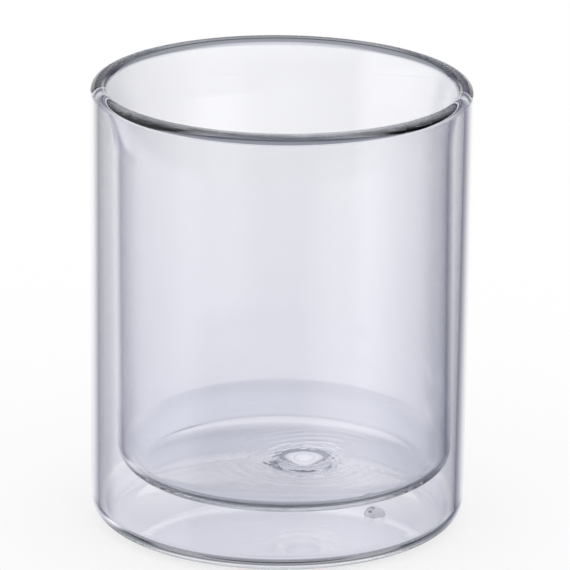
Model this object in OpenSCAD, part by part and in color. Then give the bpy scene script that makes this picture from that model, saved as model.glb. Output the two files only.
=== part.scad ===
// Double-walled glass cup.
// A blown inner glass hangs inside an outer glass. The two are melted together in one
// rounded bead at the rim, with still air between them everywhere else. The hole that let
// the hot air out is closed with a drop of glass in the base.
// The origin is the centre of the foot on the table, and +Z points up to the mouth.

/* [Outer glass] */
// Outside diameter at the rim
cup_d = 80; // [72:1:96]
// Height from the table to the top of the rim
cup_h = 95; // [75:1:130]
// How much narrower the outside is, on each side, at the foot than at the rim
wall_draft = 0.4; // [0:0.1:2]
// Thickness of the outer wall
outer_wall_t = 1.8; // [1.4:0.1:2.4]
// Thickness of the outer base, from the table to the air space
base_t = 1.8; // [1.5:0.1:3.4]
// Radius of the rounded edge at the foot
foot_r = 5.3; // [3.5:0.1:8]
// How much tighter the corner of the air space is than an even wall would make it
corner_fill = 0.5; // [0:0.1:1.5]
// Width of the flat ring that the cup stands on
stand_ring_w = 3; // [2:0.5:6]
// How far the middle of the underside arches up from the table
punt_h = 0.6; // [0:0.1:1]

/* [Inner glass] */
// Thickness of the inner wall
inner_wall_t = 1.3; // [1.1:0.1:2.4]
// Thickness of the inner floor
floor_t = 1.6; // [1.2:0.1:2.6]
// Air gap between the two straight walls, at the top of the straight part
side_gap = 2.7; // [2:0.1:6]
// Air gap between the outer base and the inner floor
base_gap = 9.2; // [5:0.1:20]
// Radius of the rounded bottom edge of the inner glass, on its outside
bowl_corner_r = 6.8; // [4:0.1:14]
// Radius of the curve that opens the bore out to the mouth, a larger one starting lower
flare_r = 32; // [20:1:60]

/* [Rim] */
// Width of the rounded rim, from the outside to the mouth
rim_w = 3.4; // [2.8:0.1:4.2]
// Width of the air gap where it ends, under the rim
gap_end_w = 0.6; // [0.3:0.1:1]

/* [Closing drop of the inner floor] */
// Distance of the drop from the middle of the cup, to the right
drop_offset = 4.2; // [0:0.1:8]
// Diameter of the drop of glass that hangs under the floor
drop_d = 17; // [10:0.5:20]
// How far the drop hangs below the floor
drop_depth = 2; // [1:0.1:3]
// Diameter of the dimple above the drop
dimple_d = 8; // [5:0.5:16]
// Depth of the dimple
dimple_depth = 1.4; // [0.4:0.1:1.8]

/* [Vent seal] */
// Diameter of the vent hole through the outer base
vent_d = 2.6; // [1.6:0.1:4]
// Distance of the vent from the middle of the base
vent_offset = 21.3; // [8:0.1:25]
// Bearing of the vent, turned from the right-hand side towards the back
vent_bearing = -13.5; // [-180:0.5:180]
// How much wider the head of the seal is, on each side, than the hole
seal_overlap = 1; // [0.6:0.1:2]
// Height of the domed head of the seal above the base
seal_head_h = 1.8; // [1:0.1:3]

/* [Hidden] */

$fn = 96;
// Straight pieces that a quarter turn of an outline is drawn with
arc_steps = 12;
// Straight pieces along each face of the flare under the rim
flare_steps = 16;
// How far a cut runs past the face that it opens
overrun = 1;

clear_glass = [0.86, 0.90, 0.94, 0.35];
bead_glass = [0.62, 0.68, 0.74, 0.55];
seal_glass = [0.70, 0.80, 0.88, 0.60];

// Outer glass, as radii from the axis and heights from the table. The corner of the air space
// is rounded tighter than an even wall would make it, because the glass is thicker there.
rim_r = cup_d / 2;
foot_outer_r = rim_r - wall_draft;
foot_ring_r = foot_outer_r - foot_r;
punt_r = foot_ring_r - stand_ring_w;
cavity_corner_r = max(foot_r - outer_wall_t - corner_fill, outer_wall_t / 2);
gap_outer_top_r = rim_r - outer_wall_t;
gap_outer_foot_r = foot_outer_r - outer_wall_t;

// Rim: the round top of the bead, the end of the air gap and the level of the seam
rim_round_r = rim_w / 2;
round_centre_r = rim_r - rim_round_r;
mouth_z = cup_h - rim_round_r;
gap_end_r = gap_end_w / 2;
gap_inner_top_r = gap_outer_top_r - gap_end_w;

// Inner glass
bowl_outer_r = gap_outer_top_r - side_gap;
bore_r = bowl_outer_r - inner_wall_t;
floor_under_z = base_t + base_gap;
floor_top_z = floor_under_z + floor_t;
bowl_round_r = max(bowl_corner_r - inner_wall_t, inner_wall_t / 2);

// Flare: both faces of the inner glass turn about one centre, outside the cup and level with
// the start of the curve. The bore's arc runs into the round top of the bead without a corner.
flare_outer_r = flare_r - inner_wall_t;
flare_centre_r = bore_r + flare_r;
flare_z = mouth_z - sqrt((flare_r - rim_round_r) ^ 2 - (flare_centre_r - round_centre_r) ^ 2);
mouth_turn = atan2(mouth_z - flare_z, flare_centre_r - round_centre_r);

// Seam: the level at which the two walls have come within the gap's last width
seam_turn = acos((flare_centre_r - gap_inner_top_r) / flare_outer_r);
seam_z = flare_z + flare_outer_r * sin(seam_turn);
bore_seam_turn = asin((seam_z - flare_z) / flare_r);

// Vent seal
vent_r = vent_d / 2;
seal_head_r = vent_r + seal_overlap;

// Points of an arc about a centre, from one angle to another
function arc(centre_r, centre_z, radius, from_a, to_a, steps) =
    [for (i = [0:steps])
        let (a = from_a + (to_a - from_a) * i / steps)
        [centre_r + radius * cos(a), centre_z + radius * sin(a)]];

// Points of a flared face, from one turn about the centre of the flare to another
function flare(radius, from_turn, to_turn, steps) =
    arc(flare_centre_r, flare_z, radius, 180 - from_turn, 180 - to_turn, steps);

// Points of a dome over the axis, from its top out to its upright edge
function dome(edge_r, rise, edge_z, steps) =
    [for (i = [0:steps])
        let (a = 90 - 90 * i / steps)
        [edge_r * cos(a), edge_z + rise * sin(a)]];

// Points of a swelling that runs out smoothly into a flat face, from the axis outwards
function swelling(edge_r, rise, face_z, steps) =
    [for (i = [0:steps])
        let (share = i / steps)
        [edge_r * share, face_z + rise * (1 + cos(180 * share)) / 2]];

// Points of the low arch under the base, from the axis out to the stand ring
function punt_arch(edge_r, rise, steps) =
    [for (i = [0:steps])
        let (share = i / steps)
        [edge_r * share, rise * (1 - share * share)]];

// A list of points without its first one, where that repeats the point before it
function after_first(points) = [for (i = [1:len(points) - 1]) points[i]];

// Outer glass: a straight tumbler with a rounded foot, open at the seam of the rim
module outer_glass() {
    color(clear_glass)
    difference() {
        rotate_extrude() polygon(concat(
            punt_arch(punt_r, punt_h, arc_steps),
            arc(foot_ring_r, foot_r, foot_r, -90, 0, arc_steps),
            [[rim_r, seam_z], [gap_outer_top_r, seam_z]],
            arc(gap_outer_foot_r - cavity_corner_r, base_t + cavity_corner_r,
                cavity_corner_r, 0, -90, arc_steps),
            [[0, base_t]]));
        at_vent() translate([0, 0, -overrun])
            cylinder(r = vent_r, h = base_t + 2 * overrun);
    }
}

// Inner glass: a round-bottomed tumbler that widens to the seam of the rim. Its floor
// carries the drop of glass that closed it, and the dimple above that drop.
module inner_glass() {
    color(clear_glass)
    difference() {
        union() {
            rotate_extrude() polygon(concat(
                [[0, floor_under_z]],
                arc(bowl_outer_r - bowl_corner_r, floor_under_z + bowl_corner_r,
                    bowl_corner_r, -90, 0, arc_steps),
                flare(flare_outer_r, 0, seam_turn, flare_steps),
                flare(flare_r, bore_seam_turn, 0, flare_steps),
                arc(bore_r - bowl_round_r, floor_top_z + bowl_round_r,
                    bowl_round_r, 0, -90, arc_steps),
                [[0, floor_top_z]]));
            translate([drop_offset, 0, 0]) closing_drop();
        }
        translate([drop_offset, 0, 0]) floor_dimple();
    }
}

// The drop: a swelling that hangs from the middle of the floor's thickness
module closing_drop() {
    root_z = (floor_under_z + floor_top_z) / 2;
    rotate_extrude() polygon(concat(
        swelling(drop_d / 2, -drop_depth, floor_under_z, arc_steps),
        [[drop_d / 2, root_z], [0, root_z]]));
}

// The dimple: the same kind of swelling, cut down into the floor's upper face
module floor_dimple() {
    rotate_extrude() polygon(concat(
        swelling(dimple_d / 2, -dimple_depth, floor_top_z, arc_steps),
        [[dimple_d / 2, floor_top_z + overrun], [0, floor_top_z + overrun]]));
}

// Rim bead: the ring of melted glass that joins both walls and closes the air gap
module rim_bead() {
    color(bead_glass)
    rotate_extrude() polygon(concat(
        [[rim_r, seam_z]],
        arc(round_centre_r, mouth_z, rim_round_r, 0, 180 - mouth_turn, 2 * arc_steps),
        after_first(flare(flare_r, mouth_turn, bore_seam_turn, flare_steps)),
        arc(gap_inner_top_r + gap_end_r, seam_z, gap_end_r, 180, 0, arc_steps)));
}

// Vent seal: a drop of glass melted into the vent hole, with a domed head in the air gap
module vent_seal() {
    color(seal_glass)
    at_vent()
    rotate_extrude() polygon(concat(
        dome(seal_head_r, seal_head_h, base_t, arc_steps),
        [[vent_r, base_t], [vent_r, punt_h], [0, punt_h]]));
}

// Moves what follows to the vent's place on the base
module at_vent() {
    rotate([0, 0, vent_bearing]) translate([vent_offset, 0, 0]) children();
}

outer_glass();
inner_glass();
rim_bead();
vent_seal();
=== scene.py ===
# %% [markdown]
# A double-walled glass cup, dressed for its portrait.
#
# The cup is blown from clear heat-resistant glass. A round-bottomed inner glass hangs
# inside a straight outer glass, and the two are melted together in one bead at the rim.
# A drop of glass closes the hole in the base that let the hot air out. The CAD model holds
# the true sizes, and this lesson rebuilds the same four pieces as very smooth surfaces,
# because clear glass shows every facet, and then lights them.

# %% Load the CAD frame
import math

import bmesh
import bpy
import numpy as np
from mathutils import Matrix, Vector


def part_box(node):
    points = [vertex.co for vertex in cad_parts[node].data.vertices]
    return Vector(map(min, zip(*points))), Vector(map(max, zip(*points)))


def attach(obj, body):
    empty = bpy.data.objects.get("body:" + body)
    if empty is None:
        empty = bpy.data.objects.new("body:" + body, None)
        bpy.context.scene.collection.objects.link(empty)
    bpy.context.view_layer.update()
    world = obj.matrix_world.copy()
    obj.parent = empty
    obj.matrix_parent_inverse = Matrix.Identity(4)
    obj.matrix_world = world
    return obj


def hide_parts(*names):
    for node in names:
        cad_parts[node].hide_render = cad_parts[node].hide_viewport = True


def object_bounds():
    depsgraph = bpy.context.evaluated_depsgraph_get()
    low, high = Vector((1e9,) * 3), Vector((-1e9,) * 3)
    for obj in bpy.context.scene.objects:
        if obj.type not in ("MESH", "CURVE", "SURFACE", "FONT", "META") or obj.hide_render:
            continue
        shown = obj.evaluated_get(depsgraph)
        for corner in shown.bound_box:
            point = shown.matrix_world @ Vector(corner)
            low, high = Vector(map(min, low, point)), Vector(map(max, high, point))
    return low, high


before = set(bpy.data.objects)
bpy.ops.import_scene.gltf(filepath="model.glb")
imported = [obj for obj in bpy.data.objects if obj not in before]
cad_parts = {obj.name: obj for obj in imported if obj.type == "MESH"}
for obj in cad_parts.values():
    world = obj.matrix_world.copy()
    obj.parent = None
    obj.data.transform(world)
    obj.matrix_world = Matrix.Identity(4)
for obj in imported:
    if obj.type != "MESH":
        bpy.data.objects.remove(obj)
cad_low, cad_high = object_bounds()
print("CAD box in mm:", [round(1000 * v, 2) for v in (*cad_low, *cad_high)])

# %% [markdown]
# Sizes. What a box can tell is read from the frame: how wide and high the cup is, and where
# its vent seal sits. Wall thicknesses and roundings can't be read from a box, so they are
# written here once, as the CAD source has them.

# %% Sizes of the glass
MM = 0.001
outer_box_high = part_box("outer_glass")[1]
vent_low, vent_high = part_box("vent_seal")

rim_r = outer_box_high.x
cup_h = cad_high.z

outer_wall_t = 1.8 * MM
wall_draft = 0.4 * MM
base_t = 1.8 * MM
foot_r = 5.3 * MM
stand_ring_w = 3.0 * MM
punt_h = vent_low.z

side_gap = 2.7 * MM
inner_wall_t = 1.3 * MM
floor_under_z = 11.0 * MM
floor_t = 1.6 * MM
bowl_corner_r = 6.8 * MM
rim_w = 3.4 * MM
flare_r = 32.0 * MM

foot_outer_r = rim_r - wall_draft
foot_ring_r = foot_outer_r - foot_r
punt_r = foot_ring_r - stand_ring_w
gap_outer_top_r = rim_r - outer_wall_t
gap_outer_foot_r = foot_outer_r - outer_wall_t
bowl_outer_r = gap_outer_top_r - side_gap
bore_r = bowl_outer_r - inner_wall_t
rim_round_r = rim_w / 2
floor_top_z = floor_under_z + floor_t
print("rim radius", round(rim_r / MM, 2), "bore radius", round(bore_r / MM, 2), "mm")

# %% [markdown]
# Uneven roundings. Glass that is melted and turned by hand isn't the same all round: its corners
# are a little fuller on one side. One share for the front and one for the back, both worked out
# for every bearing, let each such size change smoothly round the cup. A sine wave alone
# would spread the change over the whole cup, so it is sharpened by a power.

# %% Front and back
AROUND = 240
SIDE_POWER = 3
around = np.linspace(0, 2 * np.pi, AROUND, endpoint=False)
front_share = ((1 - np.sin(around)) / 2)**SIDE_POWER
back_share = ((1 + np.sin(around)) / 2)**SIDE_POWER
print("one ring has", AROUND, "points,", int((back_share > 0.5).sum()), "of them at the back")

# %% [markdown]
# The flare. The inner glass is opened out like a trumpet in the flame until it meets the
# outer one. Both of its faces are arcs about one centre outside the cup, so the wall keeps its
# thickness, and the arc of the bore runs smoothly into the round of the rim. The air gap ends
# where the outer face of the flare comes within its last width of the outer wall. That last
# width is larger at the front, and the height of the seam follows it round the cup.

# %% Flare of the inner glass
gap_end_back = 0.5 * MM
gap_end_front = 0.75 * MM
gap_end_w = gap_end_back + (gap_end_front - gap_end_back) * front_share
gap_end_r = gap_end_w / 2
gap_inner_top_r = gap_outer_top_r - gap_end_w
flare_centre_r = bore_r + flare_r
round_centre_r = rim_r - rim_round_r
mouth_z = cup_h - rim_round_r
flare_z = mouth_z - math.sqrt((flare_r - rim_round_r)**2 - (flare_centre_r - round_centre_r)**2)
mouth_turn = math.atan2(mouth_z - flare_z, flare_centre_r - round_centre_r)
seam_turn = np.arccos((flare_centre_r - gap_inner_top_r) / (flare_r - inner_wall_t))
seam_z = flare_z + (flare_r - inner_wall_t) * np.sin(seam_turn)
bore_seam_turn = np.arcsin((seam_z - flare_z) / flare_r)
print("flare starts at", round(flare_z / MM, 2), "seam from", round(seam_z.min() / MM, 2), "to",
      round(seam_z.max() / MM, 2), "mm, mouth turned by", round(math.degrees(mouth_turn), 1),
      "degrees")

# %% [markdown]
# How a blown piece is drawn. Every piece here is a stack of rings, so one function of two
# parameters makes them all: one parameter runs round each ring, the other runs along the
# outline from ring to ring. A ring has a radius, a height and a centre. Letting the centre
# wander from ring to ring is what makes room for the vent hole and the off-centre drop, which
# a plain lathe couldn't hold. First come the lines and arcs of an outline.

# %% Lines and arcs of an outline


def evenly(start, end, count):
    """Even steps from start to end; both may differ round the cup, one value per point."""
    return np.linspace(start + 0 * around, end + 0 * around, count)


def arc_rows(centre_r, centre_z, radius, from_turn, to_turn, count):
    """Radius and height of points on an arc: the centre plus radius times cosine and sine."""
    turn = evenly(from_turn, to_turn, count)
    return np.stack([centre_r + radius * np.cos(turn), centre_z + radius * np.sin(turn)], 2)


def line_rows(start, end, count):
    """Points of a straight line, packed closer at both ends: (1 - cos(pi t)) / 2 along it."""
    share = (1 - np.cos(np.pi * evenly(0, 1, count))) / 2
    return np.stack([start[k] + share * (end[k] - start[k]) for k in (0, 1)], 2)


def flare_rows(radius, from_turn, to_turn, count):
    """Points of a flared face: an arc about the flare's centre, turned up from the level."""
    return arc_rows(flare_centre_r, flare_z, radius, np.pi - from_turn, np.pi - to_turn, count)


# %% [markdown]
# From an outline to rings. Spin in edit mode could turn the outline round an axis, but only
# round one. Worked out as arrays, each ring may have its own centre, and each point of a ring its
# own radius, with no loop over the points.

# %% Rings from an outline


def rings(rows, centre_x=0.0, centre_y=0.0, wander=None):
    """Rows of (radius, height) become rings of points.

    Point j of ring i lies at centre_i + radius_ij * (cos u_j, sin u_j), at height_ij, where u
    runs once round. wander is the share of the way that each ring's centre has moved from
    the axis to (centre_x, centre_y); without it every ring is centred on the axis.
    """
    if rows.ndim == 2:
        rows = np.repeat(rows[:, None], AROUND, 1)
    share = np.zeros(len(rows)) if wander is None else np.asarray(wander, float)
    x = share[:, None] * centre_x + rows[..., 0] * np.cos(around)
    y = share[:, None] * centre_y + rows[..., 0] * np.sin(around)
    return np.stack([x, y, rows[..., 1]], 2)


# %% [markdown]
# From rings to a closed mesh. Neighbouring rings are joined by four-sided faces. A ring of no
# size is one point, a pole, and gets a fan of triangles. Where the outline turns a true
# corner, the ring there is marked sharp, so that the smooth shading stops at it. Faces where
# two pieces were melted together carry the mark "melted": glass runs on through them, so
# the material lets light pass there without bending it.

# %% Marks on a mesh


def mark_mesh(mesh, ring_of_point, span_of_face, sharp_rows, melted_spans):
    """Smooth faces, sharp edges along the named rings, and the mark on melted faces."""
    mesh.polygons.foreach_set("use_smooth", np.ones(len(mesh.polygons), bool))
    edge_ends = np.empty(2 * len(mesh.edges), np.int32)
    mesh.edges.foreach_get("vertices", edge_ends)
    edge_rings = ring_of_point[edge_ends.reshape(-1, 2)]
    level = edge_rings[:, 0] == edge_rings[:, 1]
    sharp = level & np.isin(edge_rings[:, 0], list(sharp_rows))
    mesh.attributes.new("sharp_edge", "BOOLEAN", "EDGE").data.foreach_set("value", sharp)
    melted = np.isin(span_of_face, list(melted_spans)).astype(np.float32)
    mesh.attributes.new("melted", "FLOAT", "FACE").data.foreach_set("value", melted)


# %% Mesh from rings


def lay_mesh(name, stack, looped, sharp_rows=(), melted_spans=()):
    """Closed mesh from a stack of rings; looped joins the last ring to the first.

    Face k of span i joins points k and k+1 of ring i to those of ring i+1. The faces are
    turned round if the volume that they enclose, a sum of tetrahedra, comes out negative.
    """
    count = len(stack)
    index = np.arange(count * AROUND).reshape(count, AROUND)
    points = stack.reshape(-1, 3)
    if not looped:
        index[[0, -1]] = index[[0, -1], :1]
    upper = np.roll(index, -1, 0) if looped else index[1:]
    lower = index if looped else index[:-1]
    quads = np.stack([lower, np.roll(lower, -1, 1), np.roll(upper, -1, 1), upper], 2)
    span_of_face = np.repeat(np.arange(len(quads)), AROUND)
    quads = quads.reshape(-1, 4)
    a, b, c, d = (points[quads[:, k]] for k in range(4))
    volume = np.einsum("ij,ij->i", a, np.cross(b, c) + np.cross(c, d)).sum() / 6
    if volume < 0:
        quads = quads[:, ::-1]
    used, renumbered = np.unique(quads, return_inverse=True)
    faces = [list(dict.fromkeys(face)) for face in renumbered.reshape(quads.shape).tolist()]
    mesh = bpy.data.meshes.new(name)
    mesh.from_pydata(points[used].tolist(), [], faces)
    mark_mesh(mesh, used // AROUND, span_of_face, sharp_rows, melted_spans)
    mesh.update()

    piece = bpy.data.objects.new(name, mesh)
    bpy.context.scene.collection.objects.link(piece)
    print(name, len(mesh.vertices), "points,", round(abs(volume) / MM**3), "mm3")
    return piece


# %% [markdown]
# The base with its vent hole. The hole lies off the axis, and the rings of a base that is
# centred on the axis would cut across it. So the rings start round the hole, and their centres
# move back to the axis as they grow. The underside is left slightly arched, so that the cup
# stands on a ring and doesn't rock.

# %% Base of the outer glass
vent_x = (vent_low.x + vent_high.x) / 2
vent_y = (vent_low.y + vent_high.y) / 2
seal_head_r = (vent_high.x - vent_low.x) / 2
vent_r = 1.3 * MM
settle_r = 27.0 * MM  # past this radius the base's rings are centred on the axis
BASE_ROWS = 26
CROWD_POWER = 1.3  # above 1, the rings lie closer together near the hole


def punt_height(x, y):
    """Height of the arched underside: highest in the middle, falling with the radius squared."""
    return punt_h * np.clip(1 - (x * x + y * y) / punt_r**2, 0, 1)


def base_rings(height):
    """Rings from the hole's edge, past the seal's head, out to where they settle."""
    share = np.linspace(0, 1, BASE_ROWS) ** CROWD_POWER
    radius = np.concatenate([[vent_r], seal_head_r + share * (settle_r - seal_head_r)])
    wander = np.concatenate([[1.0], 1 - share])
    rows = np.stack([radius, np.full(len(radius), height)], 1)
    return rings(rows, vent_x, vent_y, wander)


print("vent hole at", round(vent_x / MM, 2), round(vent_y / MM, 2), "mm from the axis")

# %% [markdown]
# The outer glass. On the real cup it starts as a straight tube whose end is closed and rounded
# in the flame. A cylinder with a Solidify modifier would give one thickness all over, but here
# the corner inside the base is rounder at the back than at the front, which the lines in the
# foot show. Starting the outline at the vent hole and ending it there again makes the piece
# one closed loop of rings: over the base, up the inside, across the seam, down the outside,
# under the foot and back up the wall of the hole.

# %% Outline of the outer glass
cavity_corner_front = 3.0 * MM
cavity_corner_back = 4.9 * MM
cavity_corner_r = cavity_corner_front + (cavity_corner_back - cavity_corner_front) * back_share
WALL_ROWS = 50
FLAT_ROWS = 8
FOOT_ROWS = 30
CAVITY_CORNER_ROWS = 26
CAVITY_FLOOR_ROWS = 10


def outer_inside():
    """Inner face: the base's edge, the corner, and the wall up to the seam."""
    corner_r = gap_outer_foot_r - cavity_corner_r
    corner_z = base_t + cavity_corner_r
    return np.concatenate([
        line_rows((settle_r, base_t), (corner_r, base_t), CAVITY_FLOOR_ROWS)[1:],
        arc_rows(corner_r, corner_z, cavity_corner_r, -np.pi / 2, 0, CAVITY_CORNER_ROWS)[1:],
        line_rows((gap_outer_foot_r, corner_z), (gap_outer_top_r, seam_z), WALL_ROWS)[1:]])


def outer_outside():
    """Outer face: the wall down from the seam, the foot, its flat ring, the arch's edge."""
    return np.concatenate([
        line_rows((rim_r, seam_z), (foot_outer_r, foot_r), WALL_ROWS),
        arc_rows(foot_ring_r, foot_r, foot_r, 0, -np.pi / 2, FOOT_ROWS)[1:],
        line_rows((foot_ring_r, 0), (punt_r, 0), FLAT_ROWS)[1:],
        line_rows((punt_r, 0), (settle_r, 0), FLAT_ROWS)[1:]])


print("corner of the gap from", round(cavity_corner_r.min() / MM, 2), "to",
      round(cavity_corner_r.max() / MM, 2), "mm")

# %% Outer glass


def outer_stack():
    """All rings of the outer glass, and the rings of its seam and of the hole's lower edge."""
    over_base, under_base = base_rings(base_t), base_rings(0.0)[::-1][1:]
    inside, outside = outer_inside(), outer_outside()
    hole_z = np.array([punt_h, (punt_h + base_t) / 2])
    hole = rings(np.stack([np.full(2, vent_r), hole_z], 1), vent_x, vent_y, np.ones(2))
    stack = np.concatenate([over_base, rings(inside), rings(outside), under_base, hole])
    seam = len(over_base) + len(inside) - 1
    hole_edge = seam + len(outside) + len(under_base)
    arched = stack[seam + 1 + len(outside) - FLAT_ROWS:hole_edge + 1]
    arched[..., 2] = punt_height(arched[..., 0], arched[..., 1])
    return stack, seam, hole_edge


outer_rings, outer_seam, hole_edge = outer_stack()
outer_glass = lay_mesh(
    "outer_glass_blown", outer_rings, looped=True,
    sharp_rows=[0, outer_seam, outer_seam + 1, hole_edge],
    melted_spans=[0, outer_seam, hole_edge + 1, hole_edge + 2])
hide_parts("outer_glass")
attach(outer_glass, "root")

# %% [markdown]
# The drop in the inner floor. The inner glass was pinched off from its tube there and closed,
# which leaves a thick drop under the floor, a dimple above it, and faint rings where the soft
# glass flowed. They could be drawn as a bump in the material, but they bend what is seen
# through them, so they are true heights of the surface.

# %% Drop, dimple and flow marks
drop_x = 4.2 * MM
drop_r = 9.0 * MM
drop_depth = 2.2 * MM
dimple_r = 5.0 * MM
dimple_depth = 1.8 * MM
ring_height, ring_pitch = 0.016 * MM, 2.7 * MM
ring_band = (4.0 * MM, 8.0 * MM, 10.0 * MM, 22.0 * MM)
ripple_height, ripple_pitch = 0.03 * MM, 1.7 * MM
ripple_band = (4.5 * MM, 6.5 * MM, 8.0 * MM, 12.0 * MM)
OVAL_SHARE, OVAL_TURN, THREE_LOBED_SHARE = 0.06, 0.8, 0.04
FEW_BREAKS, BREAK_TURN, MANY_BREAKS = 7, 1.3, 12


def bump(distance, radius, height):
    """A swelling that runs out smoothly: half a cosine wave from its middle to its edge."""
    share = np.clip(distance / radius, 0, 1)
    return height * (1 + np.cos(np.pi * share)) / 2


def band_share(distance, band):
    """Rises from 0 to 1 between the band's first two distances, and falls between the others."""
    start, full, last, end = band
    rising = np.clip((distance - start) / (full - start), 0, 1)
    return rising * np.clip((end - distance) / (end - last), 0, 1)


def flow_marks(x, y):
    """Rings and ripples left by the flowing glass: two cosine waves round a wobbling centre.

    The distance d from the drop is stretched by small cosines of the bearing. The rings are
    cos(2 pi d / ring_pitch) and the ripples cos(2 pi d / ripple_pitch), each within its band of
    distances, and the ripples are broken up by cosines of the bearing.
    """
    bearing = np.arctan2(y, x - drop_x)
    wobble = (OVAL_SHARE * np.cos(2 * bearing + OVAL_TURN)
              + THREE_LOBED_SHARE * np.cos(3 * bearing))
    d = np.hypot(x - drop_x, y) * (1 + wobble)
    flow = ring_height * band_share(d, ring_band) * np.cos(2 * np.pi * d / ring_pitch)
    broken = (np.cos(FEW_BREAKS * bearing + BREAK_TURN)
              + np.cos(MANY_BREAKS * bearing + d / MM))
    ripples = ripple_height * broken * np.cos(2 * np.pi * d / ripple_pitch)
    return flow + band_share(d, ripple_band) * ripples


print("drop", round(drop_depth / MM, 1), "mm deep under a dimple of",
      round(dimple_depth / MM, 1), "mm")

# %% [markdown]
# The inner glass. The rings of its floor are centred on the drop and settle to the cup's axis
# further out, as those of the base do. The round inside its corner is tighter at the front
# and fuller at the back, where the glass is thicker: a tight round draws a sharp dark line and
# a full one a soft line. A glass that is set by hand never hangs quite straight, so it moves
# off the axis within the flare and leans a little as well.

# %% Faces of the inner glass
floor_settle_r = 24.0 * MM
bowl_round_front = 4.8 * MM
bowl_round_back = 6.6 * MM
bowl_round_r = bowl_round_front + (bowl_round_back - bowl_round_front) * back_share
BOWL_WALL_ROWS = 40
BOWL_CORNER_ROWS = 30
FLARE_ROWS = 24


def inner_outside():
    """Outer face: the floor's underside, the corner, the wall and the flare up to the seam."""
    corner_r, corner_z = bowl_outer_r - bowl_corner_r, floor_under_z + bowl_corner_r
    return np.concatenate([
        line_rows((floor_settle_r, floor_under_z), (corner_r, floor_under_z), FLAT_ROWS)[1:],
        arc_rows(corner_r, corner_z, bowl_corner_r, -np.pi / 2, 0, BOWL_CORNER_ROWS)[1:],
        line_rows((bowl_outer_r, corner_z), (bowl_outer_r, flare_z), BOWL_WALL_ROWS)[1:],
        flare_rows(flare_r - inner_wall_t, 0, seam_turn, FLARE_ROWS)[1:]])


def inner_inside():
    """Inner face: down the flare from the seam, the bore, the corner and the floor's edge."""
    corner_r, corner_z = bore_r - bowl_round_r, floor_top_z + bowl_round_r
    return np.concatenate([
        flare_rows(flare_r, bore_seam_turn, 0, FLARE_ROWS),
        line_rows((bore_r, flare_z), (bore_r, corner_z), BOWL_WALL_ROWS)[1:],
        arc_rows(corner_r, corner_z, bowl_round_r, 0, -np.pi / 2, BOWL_CORNER_ROWS)[1:],
        line_rows((corner_r, floor_top_z), (floor_settle_r, floor_top_z), FLAT_ROWS)[1:]])


print("corner of the bowl from", round(bowl_round_r.min() / MM, 2), "to",
      round(bowl_round_r.max() / MM, 2), "mm")

# %% Inner glass
shift_in_flare = 0.45 * MM
lean_at_floor = 0.95 * MM
UNDER_ROWS = 70
TOP_ROWS = 110


def floor_rings(count, height):
    """Rings from the middle of the drop out to where they settle on the axis."""
    share = np.linspace(0, 1, count)
    rows = np.stack([floor_settle_r * share, np.full(count, height)], 1)
    return rings(rows, drop_x, 0.0, 1 - share)


def lean(z):
    """Sideways shift: a smooth step s * s * (3 - 2 s) in the flare, plus an even lean."""
    share = np.clip((seam_z - z) / (seam_z - flare_z), 0, 1)
    step = share * share * (3 - 2 * share)
    return shift_in_flare * step + lean_at_floor * (seam_z - z) / (seam_z - floor_under_z)


def inner_stack():
    """All rings of the inner glass, from the drop's tip to the dimple, and the seam's ring."""
    below = floor_rings(UNDER_ROWS, floor_under_z)
    below[..., 2] -= bump(np.hypot(below[..., 0] - drop_x, below[..., 1]), drop_r, drop_depth)
    above = floor_rings(TOP_ROWS, floor_top_z)[::-1][1:]
    from_drop = np.hypot(above[..., 0] - drop_x, above[..., 1])
    above[..., 2] -= bump(from_drop, dimple_r, dimple_depth)
    above[..., 2] += flow_marks(above[..., 0], above[..., 1])
    outside = inner_outside()
    stack = np.concatenate([below, rings(outside), rings(inner_inside()), above])
    stack[..., 0] += lean(stack[..., 2])
    return stack, len(below) + len(outside) - 1


inner_rings, inner_seam = inner_stack()
inner_glass = lay_mesh(
    "inner_glass_blown", inner_rings, looped=False,
    sharp_rows=[inner_seam, inner_seam + 1], melted_spans=[inner_seam])
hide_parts("inner_glass")
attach(inner_glass, "root")

# %% [markdown]
# The rim bead. In the flame the two walls run together into one round ring of glass, and the
# air gap ends in a small round pocket under it. A torus would have neither the flare's
# slope on its inner side nor the pocket, so the bead is drawn from the same arcs as the
# glasses below it, and meets both of them face to face at the seam.

# %% Rim bead
BEAD_SIDE_ROWS = 8
CROWN_ROWS = 64
BEAD_FLARE_ROWS = 16
POCKET_ROWS = 28


def bead_rows():
    """Outline of the bead: its side, the round crown, the flare, and the pocket of the gap."""
    return np.concatenate([
        line_rows((rim_r, seam_z), (rim_r, mouth_z), BEAD_SIDE_ROWS),
        arc_rows(round_centre_r, mouth_z, rim_round_r, 0, np.pi - mouth_turn, CROWN_ROWS)[1:],
        flare_rows(flare_r, mouth_turn, bore_seam_turn, BEAD_FLARE_ROWS)[1:],
        arc_rows(gap_inner_top_r + gap_end_r, seam_z, gap_end_r, np.pi, 0, POCKET_ROWS)])


bead_outline = bead_rows()
bead_last = len(bead_outline) - 1
pocket_start = len(bead_outline) - POCKET_ROWS
bore_corner = pocket_start - 1
rim_bead = lay_mesh(
    "rim_bead_melted", rings(bead_outline), looped=True,
    sharp_rows=[0, bore_corner, pocket_start, bead_last],
    melted_spans=[bore_corner, bead_last])
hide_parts("rim_bead")
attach(rim_bead, "root")

# %% [markdown]
# The vent seal. Air in the gap has to get out while the rim is melted, through a hole in the
# base, which a drop of glass closes last. The drop spreads into a low dome inside the gap. A
# ball cut by a Boolean modifier could make it, but a lathe outline has no seams to clean up.

# %% Vent seal
seal_head_h = vent_high.z - base_t
DOME_ROWS = 32


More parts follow.
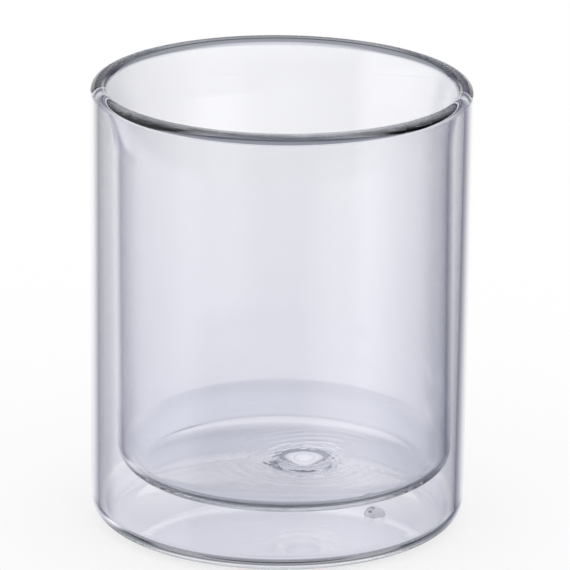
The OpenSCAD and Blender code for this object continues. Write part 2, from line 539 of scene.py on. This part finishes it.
def seal_rows():
    """Outline of the seal: a domed head, its flat underside, the stem and the stem's end."""
    angle = np.linspace(np.pi / 2, 0, DOME_ROWS)
    dome = np.stack([seal_head_r * np.cos(angle), base_t + seal_head_h * np.sin(angle)], 1)
    dome[0, 0] = 0
    return np.concatenate([
        dome, [[vent_r, base_t], [vent_r, punt_h], [0, punt_h]]])


seal_outline = seal_rows()
head_edge = DOME_ROWS - 1
vent_seal = lay_mesh(
    "vent_seal_drop", rings(seal_outline, vent_x, vent_y, np.ones(len(seal_outline))),
    looped=False, sharp_rows=[head_edge, head_edge + 1, head_edge + 2],
    melted_spans=[head_edge, head_edge + 1])

# %% [markdown]
# The bubble in the vent seal. A drop that is melted in place often traps some air. In the
# photograph it shows as a small dark ring inside the drop, and in the render as a fainter mark.
# It is a ball inside the drop whose faces look into the air that it holds, the other way round
# than those of the glass, so that light is bent the right way.

# %% Bubble in the vent seal
bubble_r = 0.7 * MM
bubble_shift = 0.7 * MM
bubble_rise = 0.85 * MM
bubble_x = vent_x - bubble_shift
bubble_z = base_t + bubble_rise
BUBBLE_ROWS = 24


def add_bubble(piece):
    """Join a closed hollow to the piece.

    Its points are centre + radius * (cos p cos u, cos p sin u, sin p), and its faces are turned
    round, because the outside of the glass is the inside of the bubble.
    """
    rise = np.linspace(-np.pi / 2, np.pi / 2, BUBBLE_ROWS)
    ball = np.stack([bubble_r * np.cos(rise), bubble_z + bubble_r * np.sin(rise)], 1)
    ball[[0, -1], 0] = 0
    hollow = lay_mesh("bubble", rings(ball, bubble_x, vent_y, np.ones(len(ball))), looped=False)
    hollow.data.flip_normals()
    bubble_mesh = hollow.data
    joined = bmesh.new()
    joined.from_mesh(piece.data)
    joined.from_mesh(bubble_mesh)
    joined.to_mesh(piece.data)
    joined.free()
    bpy.data.objects.remove(hollow)
    bpy.data.meshes.remove(bubble_mesh)


add_bubble(vent_seal)
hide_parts("vent_seal")
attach(vent_seal, "root")

# %% [markdown]
# The melted seams. Where two pieces were melted together there is no surface left in the real
# glass, but each piece's mesh has to be closed. All four materials need the same
# answer, so it is one node group: it turns the mark on those faces into an Alpha of 0, and
# light goes straight on into the next piece.

# %% Mask of the melted seams


def melted_seam_group():
    """Alpha of the glass: 1 less the mark "melted" times the share of light let through."""
    tree = bpy.data.node_groups.new("melted_seam", "ShaderNodeTree")
    tree.interface.new_socket("Let Through", in_out="INPUT", socket_type="NodeSocketFloat")
    tree.interface.new_socket("Alpha", in_out="OUTPUT", socket_type="NodeSocketFloat")
    nodes, links = tree.nodes, tree.links
    mark = nodes.new("ShaderNodeAttribute")
    mark.attribute_name = "melted"
    passed = nodes.new("ShaderNodeMath")
    passed.operation = "MULTIPLY"
    links.new(mark.outputs["Fac"], passed.inputs[0])
    links.new(nodes.new("NodeGroupInput").outputs["Let Through"], passed.inputs[1])
    kept = nodes.new("ShaderNodeMath")
    kept.operation = "SUBTRACT"
    kept.inputs[0].default_value = 1.0
    links.new(passed.outputs[0], kept.inputs[1])
    links.new(kept.outputs[0], nodes.new("NodeGroupOutput").inputs["Alpha"])
    print("node group", tree.name, "with", len(nodes), "nodes")
    return tree


melted_seam = melted_seam_group()

# %% [markdown]
# The glass. Clear heat-resistant glass is smooth from the flame and nearly colourless, with a
# breath of cold blue where light crosses several walls. A Glass shader would do, but the
# Principled one exports: full transmission, no roughness, and the refraction index of the
# real material. The faint blue is its base colour, which each crossing deepens.

# %% Glass material
GLASS_TINT = (0.984, 0.985, 0.997)
GLASS_IOR = 1.47


def clear_glass(name, tint):
    """Clear glass whose melted faces let light through unbent."""
    material = bpy.data.materials.new(name)
    material.use_nodes = True
    nodes, links = material.node_tree.nodes, material.node_tree.links
    shader = nodes["Principled BSDF"]
    shader.inputs["Base Color"].default_value = (*tint, 1)
    shader.inputs["Roughness"].default_value = 0.0
    shader.inputs["IOR"].default_value = GLASS_IOR
    shader.inputs["Transmission Weight"].default_value = 1.0
    seam = nodes.new("ShaderNodeGroup")
    seam.node_tree = melted_seam
    seam.inputs["Let Through"].default_value = 1.0
    links.new(seam.outputs["Alpha"], shader.inputs["Alpha"])
    return material


for piece in (outer_glass, inner_glass, rim_bead, vent_seal):
    piece.data.materials.append(clear_glass(piece.name + "_glass", GLASS_TINT))
    print(piece.name, "is clear glass with a refraction index of", GLASS_IOR)

# %% [markdown]
# The surroundings. Clear glass has no colour of its own: every line on it is an image of
# something around it. Behind a glass on a white sweep the light is bright straight ahead and
# falls away to the sides, low down it is dark, and that is what draws the dark outlines along
# the walls, the rim and the foot. Area lamps would light the floor too, so the light
# is painted on the world, out of simple maths nodes. These helpers wire them.

# %% Helpers for maths nodes


def link_math(tree, operation, first, second=None):
    """One Math node; each input is a number or another node's output."""
    node = tree.nodes.new("ShaderNodeMath")
    node.operation = operation
    for socket, value in zip(node.inputs, (first, second)):
        if isinstance(value, (int, float)):
            socket.default_value = value
        elif value is not None:
            tree.links.new(value, socket)
    return node.outputs[0]


def link_fade(tree, value, start, end):
    """Smooth fade from 0 where value is at start to 1 where it is at end."""
    node = tree.nodes.new("ShaderNodeMapRange")
    node.interpolation_type = "SMOOTHSTEP"
    tree.links.new(value, node.inputs["Value"])
    for name, limit in (("From Min", start), ("From Max", end)):
        if isinstance(limit, (int, float)):
            node.inputs[name].default_value = limit
        else:
            tree.links.new(limit, node.inputs[name])
    return node.outputs["Result"]


def mix_colours(tree, share, first, second):
    """Blend of two colours; each is a plain colour or another node's output."""
    node = tree.nodes.new("ShaderNodeMix")
    node.data_type = "RGBA"
    tree.links.new(share, node.inputs["Factor"])
    for socket, value in ((node.inputs[6], first), (node.inputs[7], second)):
        if isinstance(value, tuple):
            socket.default_value = (*value, 1)
        else:
            tree.links.new(value, socket)
    return node.outputs[2]


# %% [markdown]
# One soft panel. A photographer's soft box is bright in its middle and fades to its edges. Its
# mask is a node group, because the same mask is used for each bright patch around the cup, at
# another heading, height and softness.

# %% Soft panel
PANEL_INPUTS = ("Core", "Reach", "Low", "High", "Fade Down", "Fade Up", "Strength")


def soft_panel_group():
    """Mask of a soft panel: 1 near its heading and between its heights, fading out around.

    The angle to the heading is the arc cosine of the dot product of two level unit vectors,
    and the height is the arc sine of the direction's z, both in degrees.
    """
    tree = bpy.data.node_groups.new("soft_panel", "ShaderNodeTree")
    for name in ("Direction", "Heading"):
        tree.interface.new_socket(name, in_out="INPUT", socket_type="NodeSocketVector")
    for name in PANEL_INPUTS:
        tree.interface.new_socket(name, in_out="INPUT", socket_type="NodeSocketFloat")
    tree.interface.new_socket("Mask", in_out="OUTPUT", socket_type="NodeSocketFloat")
    nodes, links = tree.nodes, tree.links
    given = nodes.new("NodeGroupInput").outputs
    level = nodes.new("ShaderNodeVectorMath")
    level.operation = "MULTIPLY"
    level.inputs[1].default_value = (1, 1, 0)
    links.new(given["Direction"], level.inputs[0])
    unit = nodes.new("ShaderNodeVectorMath")
    unit.operation = "NORMALIZE"
    links.new(level.outputs[0], unit.inputs[0])
    match = nodes.new("ShaderNodeVectorMath")
    match.operation = "DOT_PRODUCT"
    links.new(unit.outputs[0], match.inputs[0])
    links.new(given["Heading"], match.inputs[1])
    angle = link_math(tree, "DEGREES", link_math(tree, "ARCCOSINE", match.outputs["Value"]))
    parts = nodes.new("ShaderNodeSeparateXYZ")
    links.new(given["Direction"], parts.inputs[0])
    height = link_math(tree, "DEGREES", link_math(tree, "ARCSINE", parts.outputs["Z"]))
    sideways = link_fade(tree, angle, given["Reach"], given["Core"])
    lowest = link_math(tree, "SUBTRACT", given["Low"], given["Fade Down"])
    highest = link_math(tree, "ADD", given["High"], given["Fade Up"])
    upright = link_math(tree, "MULTIPLY", link_fade(tree, height, lowest, given["Low"]),
                        link_fade(tree, height, highest, given["High"]))
    mask = link_math(tree, "MULTIPLY", sideways, upright)
    mask = link_math(tree, "MULTIPLY", mask, given["Strength"])
    links.new(mask, nodes.new("NodeGroupOutput").inputs["Mask"])
    return tree


soft_panel = soft_panel_group()
print("node group", soft_panel.name, "with", len(soft_panel.nodes), "nodes")

# %% [markdown]
# Where the panels stand. The first three make the bright sweep behind the cup: a wide glow that
# fades slowly, a firmer lower edge to it, and dim paper in front of it. Those after them do
# much the same for someone who walks round the cup.
# Each heading is in degrees from +Y towards +X. Core and reach say where the fade to the sides
# starts and ends. Low and high are heights, followed by the softness of those two edges.

# %% Panels round the cup
PANELS = (
    # heading, core, reach, low, high, fade down, fade up, strength
    (-2.0, 10.0, 41.0, -16.0, 8.0, 17.0, 4.0, 1.0),     # behind the cup, fading slowly down
    (-2.0, 10.0, 41.0, -25.0, 8.0, 4.5, 4.0, 0.82),     # its firmer lower edge
    (-2.0, 0.0, 60.0, -38.0, -24.5, 8.0, 4.0, 0.30),    # dim paper in front of it
    (135.0, 0.0, 50.0, -19.0, -10.0, 10.0, 5.0, 0.9),   # seen from behind, on the left
    (135.0, 0.0, 60.0, -36.0, -22.0, 8.0, 4.0, 0.30),   # its dim paper
    (-45.0, 0.0, 44.0, -28.0, -24.5, 10.0, 3.0, 1.0),   # seen from the front right, from above
    (-90.0, 0.0, 44.0, -8.0, 8.0, 10.0, 4.0, 1.0),      # seen from the side, level
    (180.0, 0.0, 60.0, -22.0, -4.0, 6.0, 6.0, 0.2),     # weak light from the viewer's side
)


def add_panel(tree, direction, heading, values):
    """One panel of the world: the mask's output for a heading in degrees."""
    panel = tree.nodes.new("ShaderNodeGroup")
    panel.node_tree = soft_panel
    tree.links.new(direction, panel.inputs["Direction"])
    turn = math.radians(heading)
    panel.inputs["Heading"].default_value = (math.sin(turn), math.cos(turn), 0)
    for name, value in zip(PANEL_INPUTS, values):
        panel.inputs[name].default_value = value
    return panel.outputs["Mask"]


print(len(PANELS), "panels at", len({panel[0] for panel in PANELS}), "headings")

# %% [markdown]
# The shade between the panels. The room is dim at the sides, with a pale window far to the left,
# dark below, and pale overhead. The paper under the cup is a dim band of steep directions. The
# foot should show it, which keeps its dark line thin, but the bottom of the bowl should stay
# dark. Rays through the foot have passed fewer faces of glass, so their number tells the two
# apart: the band is there for rays that have been through four faces at most. The camera
# and the paper floor see plain white instead of all this.

# %% Colours of the surroundings
DARK_BELOW = (0.06, 0.07, 0.09)
SHADE = (0.08, 0.085, 0.14)
WINDOW = (0.60, 0.60, 0.68)
SKY_WHITE = (0.85, 0.86, 0.92)
PANEL_WHITE = (1.0, 1.0, 1.0)
PANEL_LOW_BLUE = (0.93, 0.935, 1.0)
PAPER_UNDER = (0.36, 0.36, 0.39)
FEW_CROSSINGS = 4.5  # between four faces of glass and five

# each pair is where a fade starts and where it is complete, in degrees of height
GROUND_FADE = (-34.0, -24.0)
SKY_FADE = (4.0, 40.0)
LOW_BLUE_FADE = (-15.0, -21.0)
UNDER_TOP_FADE = (-46.0, -52.0)
UNDER_FOOT_FADE = (-69.0, -64.0)
WINDOW_FADE = (-0.71, -0.85)  # the direction's x, which is -1 straight to the left

# %% World


def studio_world():
    """World that lights diffuse surfaces evenly and shows the glass its panels."""
    world = bpy.data.worlds.new("studio")
    bpy.context.scene.world = world
    world.use_nodes = True
    tree = world.node_tree
    nodes, links = tree.nodes, tree.links
    nodes.clear()
    direction = nodes.new("ShaderNodeTexCoord").outputs["Generated"]
    parts = nodes.new("ShaderNodeSeparateXYZ")
    links.new(direction, parts.inputs[0])
    height = link_math(tree, "DEGREES", link_math(tree, "ARCSINE", parts.outputs["Z"]))
    panels = add_panel(tree, direction, PANELS[0][0], PANELS[0][1:])
    for heading, *values in PANELS[1:]:
        mask = add_panel(tree, direction, heading, values)
        panels = link_math(tree, "MAXIMUM", panels, mask)

    sides = mix_colours(tree, link_fade(tree, parts.outputs["X"], *WINDOW_FADE), SHADE, WINDOW)
    lit = mix_colours(tree, link_fade(tree, height, *GROUND_FADE), DARK_BELOW, sides)
    lit = mix_colours(tree, link_fade(tree, height, *SKY_FADE), lit, SKY_WHITE)
    panel_light = mix_colours(tree, link_fade(tree, height, *LOW_BLUE_FADE),
                              PANEL_WHITE, PANEL_LOW_BLUE)
    lit = mix_colours(tree, panels, lit, panel_light)

    path = nodes.new("ShaderNodeLightPath")
    steep = link_math(tree, "MULTIPLY", link_fade(tree, height, *UNDER_TOP_FADE),
                      link_fade(tree, height, *UNDER_FOOT_FADE))
    straight = link_math(tree, "LESS_THAN", path.outputs["Transmission Depth"], FEW_CROSSINGS)
    lit = mix_colours(tree, link_math(tree, "MULTIPLY", steep, straight), lit, PAPER_UNDER)
    seen_by_glass = link_math(tree, "MAXIMUM", path.outputs["Is Transmission Ray"],
                              path.outputs["Is Glossy Ray"])
    background = nodes.new("ShaderNodeBackground")
    links.new(mix_colours(tree, seen_by_glass, PANEL_WHITE, lit), background.inputs["Color"])
    links.new(background.outputs[0], nodes.new("ShaderNodeOutputWorld").inputs[0])
    print(len(PANELS), "soft panels round the glass,", len(nodes), "nodes in the world")
    return world


studio_world()

# %% [markdown]
# The floor. The cup stands on white paper that runs out of the picture. Lit paper alone would
# show too strong a shadow, because the light that reaches it through the glass comes from the
# dim surroundings. So three quarters of what the camera sees of it is its own glow, and the
# rest is lit paper, which keeps a faint soft shadow. Glass looks through the paper into
# the surroundings, which hold the paper's image already.

# %% Floor
FLOOR_GLOW_SHARE = 0.75
FLOOR_HALF = 3.0
FLOOR_DROP = 0.1 * MM  # keeps the paper clear of the foot ring


def floor_paper():
    """White paper for the camera, and nothing for rays that come out of glass."""
    material = bpy.data.materials.new("floor_paper")
    material.use_nodes = True
    tree = material.node_tree
    nodes, links = tree.nodes, tree.links
    nodes.clear()
    white = nodes.new("ShaderNodeBsdfDiffuse")
    white.inputs["Color"].default_value = (1, 1, 1, 1)
    glow = nodes.new("ShaderNodeEmission")
    glow.inputs["Color"].default_value = (1, 1, 1, 1)
    path = nodes.new("ShaderNodeLightPath")
    paper = nodes.new("ShaderNodeMixShader")
    links.new(link_math(tree, "MULTIPLY", path.outputs["Is Camera Ray"], FLOOR_GLOW_SHARE),
              paper.inputs[0])
    links.new(white.outputs[0], paper.inputs[1])
    links.new(glow.outputs[0], paper.inputs[2])
    seen_by_glass = link_math(tree, "MAXIMUM", path.outputs["Is Transmission Ray"],
                              path.outputs["Is Glossy Ray"])
    mix = nodes.new("ShaderNodeMixShader")
    links.new(seen_by_glass, mix.inputs[0])
    links.new(paper.outputs[0], mix.inputs[1])
    links.new(nodes.new("ShaderNodeBsdfTransparent").outputs[0], mix.inputs[2])
    links.new(mix.outputs[0], nodes.new("ShaderNodeOutputMaterial").inputs[0])
    return material


def pale_floor():
    """A wide level square just under the foot."""
    mesh = bpy.data.meshes.new("floor")
    corners = [(x * FLOOR_HALF, y * FLOOR_HALF, -FLOOR_DROP)
               for x, y in ((-1, -1), (1, -1), (1, 1), (-1, 1))]
    mesh.from_pydata(corners, [], [(0, 1, 2, 3)])
    mesh.materials.append(floor_paper())
    floor = bpy.data.objects.new("floor", mesh)
    bpy.context.scene.collection.objects.link(floor)
    return floor


floor = pale_floor()
print("floor of", 2 * FLOOR_HALF, "m")

# %% [markdown]
# The camera. The rim's ellipse, the foot's curve and the slope of the walls in the photograph
# fix where it was taken from: about 18 degrees above the table, with a long lens that hardly
# narrows the cup towards its foot, and turned by less than a degree.

# %% Camera
elevation = math.radians(17.619)
distance = 1.252452
aim_z = 47.434 * MM
focal_px = 5938.03
frame_px = 570
aim_px = (279.51, 300.519)
roll = math.radians(0.699)
SENSOR_MM = 36
SEE_TO = 20  # metres

back = Vector((0, -math.cos(elevation), math.sin(elevation)))
camera = bpy.data.objects.new("camera", bpy.data.cameras.new("camera"))
bpy.context.scene.collection.objects.link(camera)
camera.data.sensor_width = SENSOR_MM
camera.data.lens = focal_px / frame_px * SENSOR_MM
camera.data.clip_end = SEE_TO
turn_x = math.atan((aim_px[0] - frame_px / 2) / focal_px)
turn_y = math.atan((aim_px[1] - frame_px / 2) / focal_px)
facing = ((-back).to_track_quat("-Z", "Y").to_matrix()
          @ Matrix.Rotation(roll, 3, "Z")
          @ Matrix.Rotation(turn_x, 3, "Y")
          @ Matrix.Rotation(turn_y, 3, "X"))
target = Vector((0, 0, aim_z))
camera.matrix_world = Matrix.Translation(target + back * distance) @ facing.to_4x4()
bpy.context.scene.camera = camera
print("lens", round(camera.data.lens), "mm at", round(distance, 2), "m")

# %% [markdown]
# Settings that belong to the look. Standard shows colours as they are written. The rim bead
# guides light round inside itself like a fibre, and a path that is cut short comes out black, so
# rays may bounce far more often than usual. The limit sits between two faults: with more the
# lip's top was too light, with fewer its sides were too dark.

# %% Render settings
LIGHT_BOUNCES = 88
SEAM_BOUNCES = 32
scene = bpy.context.scene
scene.view_settings.view_transform = "Standard"
scene.cycles.max_bounces = LIGHT_BOUNCES
scene.cycles.transmission_bounces = LIGHT_BOUNCES
scene.cycles.glossy_bounces = LIGHT_BOUNCES
scene.cycles.transparent_max_bounces = SEAM_BOUNCES
print("up to", LIGHT_BOUNCES, "bounces of light in the glass")
